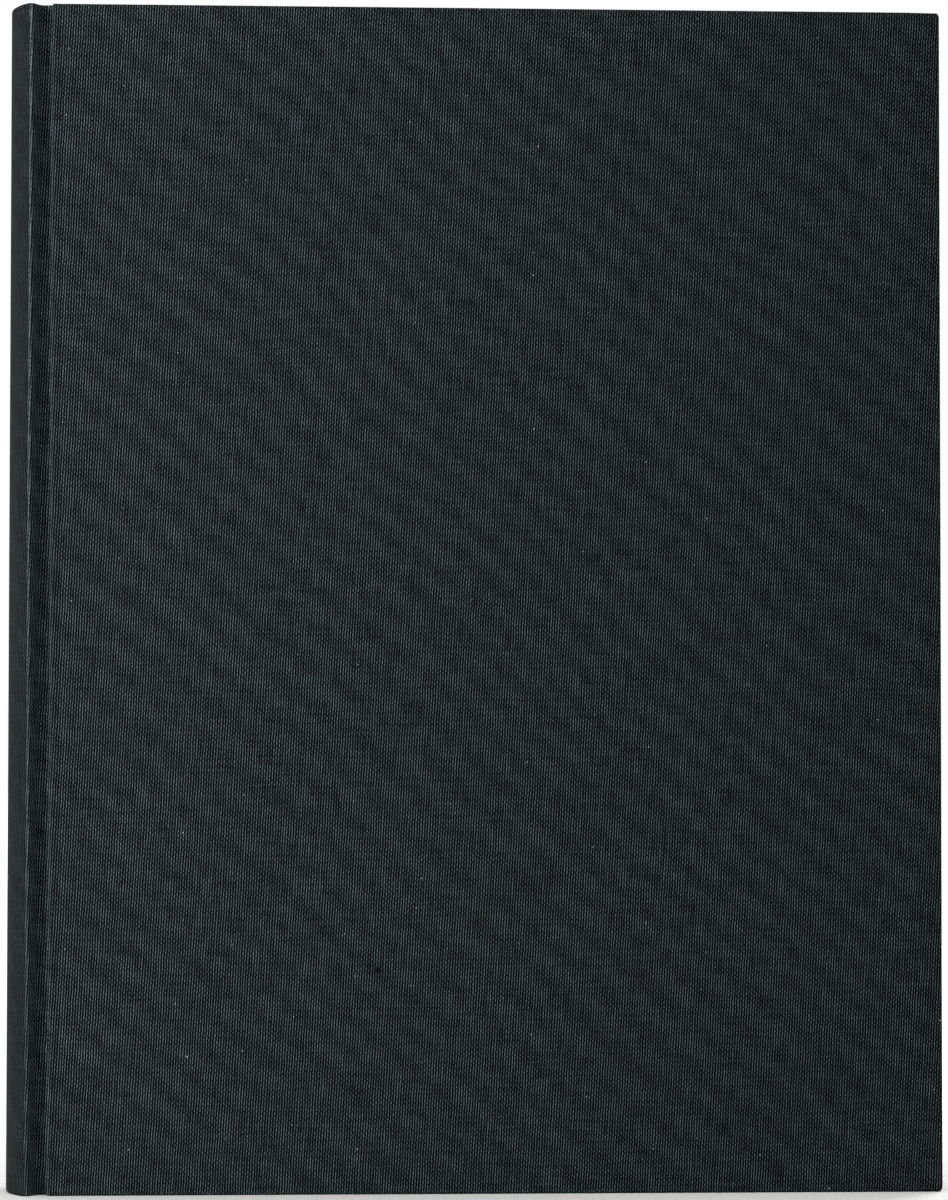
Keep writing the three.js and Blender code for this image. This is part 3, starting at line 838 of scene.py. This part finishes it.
for index in range(sectionShape["count"]):
    node = f"section_{index + 1:02d}"
    piece = makePiece(node + "_sheets", sectionParts(index), ruledPaper)
    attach(piece, "text_block")
    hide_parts(node)
print("sections done")


# Head and tail bands

bandShape = {"radius": 0.8, "gap": 0.1, "flange": 9.0, "flangeThick": 0.2, "width": 17.0,
             "wrap": 0.6, "bulge": 0.05}


# A closed tube round the back: a circle carried along the arc of the folds, its radius swelling by
# a sine once for each wrap of thread, with a cap of quads at both ends, and its flange beside it.
def bandParts(head):
    b = bandShape
    rail = blockShape["foldRadius"] + b["gap"] + b["flangeThick"]
    reach = math.asin(b["width"] / 2 / rail)
    a = np.linspace(-reach, reach, 170)
    along = a * rail
    q = np.linspace(0, 2 * math.pi, 13)[:-1]
    swell = b["radius"] - b["bulge"] + b["bulge"] * np.cos(2 * math.pi * along / b["wrap"])
    swell[0] = swell[-1] = 0.02
    swell[1] = swell[-2] = b["radius"] * 0.8
    away = b["gap"] + b["radius"] + swell[:, None] * np.cos(q)
    out = rail - b["radius"] + swell[:, None] * np.sin(q)
    z = book["leafHead"] + away if head else book["leafTail"] - away
    points = np.stack([book["ridgeX"] + book["backCentre"] - out * np.cos(a)[:, None],
                       out * np.sin(a)[:, None], z], -1)
    n, m = points.shape[:2]
    index = np.arange(n * m).reshape(n, m)
    following = np.roll(index, -1, axis=1)
    quads = np.stack([index[:-1], following[:-1], following[1:], index[1:]], -1).reshape(-1, 4)
    caps = [[e[k], e[k + 1], e[m - 2 - k], e[m - 1 - k]] for e in (index[0], index[-1])
            for k in range(m // 2 - 1)]
    caps = np.array(caps)
    caps[:m // 2 - 1] = caps[:m // 2 - 1, ::-1]
    vertices = points.reshape(-1, 3)
    place = np.stack(np.broadcast_arrays(along[:, None], q[None, :], 0.0), -1).reshape(-1, 3)
    tube = {"vertices": vertices, "quads": turnedOut(vertices, np.concatenate([quads, caps])),
            "flat": np.zeros(len(quads) + len(caps), bool), "place": place, "tone": 0.5}
    arc = np.linspace(-reach, reach, 30)
    middle = rail - b["flangeThick"] / 2
    path = np.stack([book["backCentre"] - middle * np.cos(arc), middle * np.sin(arc)], 1)
    base = book["leafHead"] if head else book["leafTail"]
    low, high = (base - b["flange"], base + 0.6) if head else (base - 0.6, base + b["flange"])
    return [tube, pathSheet(path, b["flangeThick"] * 0.9, low, high, 0.5, 0.0, 4)]


for node, head in (("head_band", True), ("tail_band", False)):
    piece = makePiece(node + "_wrapped", bandParts(head), bandThread)
    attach(piece, "text_block")
    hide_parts(node)
print("bands done")

# Hidden pieces keep their shape and get the stock they are made of.
finishes = {"front_board": greyBoard, "back_board": greyBoard, "spine_card": manilaCard,
            "spine_lining": kraftPaper, "mull": linenThread, "kettle_stitch_tail": linenThread,
            "kettle_stitch_head": linenThread, "link_stitch_lower": linenThread,
            "link_stitch_upper": linenThread}
for node, material in finishes.items():
    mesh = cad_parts[node].data
    mesh.materials.clear()
    mesh.materials.append(material)


# Stage: a pale floor, a white horizon, a gridded strip light at the left and soft light from above

stageLook = {
    "floor": ("#f5f5f3", "#fbfbf9"),
    "glow": (0.8, 2.2, 0.0, 0.35),  # metres from the book where it starts and is full, strengths
    "horizon": 1.0,  # the white band that the camera sees behind the book
    "sky": 0.2,
    "fade": (0.2, 0.5),  # height in the surround, as the sine of the elevation
    "sun": 1.9,
    "strip": 8.0,  # watts
    "stripPlace": (-1.05, -0.48, 0.33),
    "stripAim": (-0.33, 0.0, 0.17),
    "stripSpread": 30,  # degrees; its grid keeps the light from the fore edge
    "back": 9,
}


# Matt white background paper with a faint fibre, between the floor's two shades. Far from the book
# it glows a little, like paper lit from behind, so that it meets the white surround unseen.
def sweepPaper():
    material, add = newMaterial("white_background_paper")
    where = add("TexCoord").outputs["Object"]
    fibre = add("TexNoise", {"Vector": where, "Scale": 300.0, "Detail": 2.0})
    far = add("VectorMath", where, operation="LENGTH").outputs["Value"]
    dark, light = (colour(shade) for shade in stageLook["floor"])
    shader = add("BsdfPrincipled", {
        "Base Color": add("Mix", fibre, dark, light, **inColour),
        "Roughness": 0.95, "Specular IOR Level": 0.2, "Emission Color": (1, 1, 1, 1),
        "Emission Strength": add("MapRange", far, *stageLook["glow"])})
    add("OutputMaterial", shader)
    return material


# A flat grid 12 m across, and the same 20 mm lower.
def floorPart():
    x = np.linspace(-6000, 6000, 3)
    grid = np.stack(np.broadcast_arrays(x[:, None], x[None, :], 0.0), -1)
    return shellPart(grid, grid - [0, 0, 20], grid)


floor = makePiece("floor", [floorPart()], sweepPaper())


# A lamp at place, turned so that its -Z looks along aim - place.
def addLight(name, kind, place, aim, power, **settings):
    light = bpy.data.lights.new(name, kind)
    light.energy = power
    for key, value in settings.items():
        setattr(light, key, value)
    lamp = bpy.data.objects.new(name, light)
    bpy.context.scene.collection.objects.link(lamp)
    lamp.location = place
    lamp.visible_camera = False
    lamp.rotation_euler = (Vector(aim) - Vector(place)).to_track_quat("-Z", "Y").to_euler()
    return lamp


strip = addLight("strip_light", "AREA", stageLook["stripPlace"], stageLook["stripAim"],
                 stageLook["strip"], shape="RECTANGLE", size=0.45, size_y=0.9,
                 spread=math.radians(stageLook["stripSpread"]))
# The strip skims the cloth only, so that white pages in its beam aren't burnt out.
skimmed = bpy.data.collections.new("skimmed_cloth")
for piece in caseCloths:
    skimmed.objects.link(piece)
strip.light_linking.receiver_collection = skimmed
addLight("top_light", "SUN", (-0.1, -0.1, 1), (0, 0, 0), stageLook["sun"], angle=math.radians(40))
addLight("back_light", "AREA", (0.75, 0.85, 0.65), (0, 0, 0.14), stageLook["back"],
         shape="RECTANGLE", size=0.6, size_y=0.6)


# The surround is white near the horizon and falls to a soft grey overhead.
def makeSurround():
    s = stageLook
    world = bpy.data.worlds.new("surround")
    world.use_nodes = True
    tree = world.node_tree
    tree.nodes.clear()
    upward = addNode(tree, "SeparateXYZ", addNode(tree, "TexCoord").outputs["Generated"])
    rise = addNode(tree, "MapRange", upward.outputs["Z"], *s["fade"], s["horizon"], s["sky"])
    light = addNode(tree, "Background", (1, 1, 1, 1), rise)
    addNode(tree, "OutputWorld", light)
    bpy.context.scene.world = world
    bpy.context.scene.view_settings.view_transform = "Standard"


makeSurround()

# Camera: it stands a little to the left of the book and level with its lower middle.
cameraView = {"place": (-46.87, -932.07, 110.77), "yaw": -0.0503, "pitch": 0.03426,
              "roll": -0.00104, "lens": 114.9}


# Looks along +Y, turned by yaw about Z, pitch about X and roll about the line of sight.
def makeCamera():
    v = cameraView
    data = bpy.data.cameras.new("photo_camera")
    data.sensor_width, data.lens = 36, v["lens"]
    data.clip_start, data.clip_end = 0.05, 60
    camera = bpy.data.objects.new("photo_camera", data)
    bpy.context.scene.collection.objects.link(camera)
    turn = (Matrix.Rotation(v["yaw"], 4, "Z") @ Matrix.Rotation(v["pitch"], 4, "X")
            @ Matrix.Rotation(v["roll"], 4, "Y") @ Matrix.Rotation(math.pi / 2, 4, "X"))
    camera.matrix_world = Matrix.Translation(Vector(v["place"]) * mm) @ turn
    bpy.context.scene.camera = camera


makeCamera()
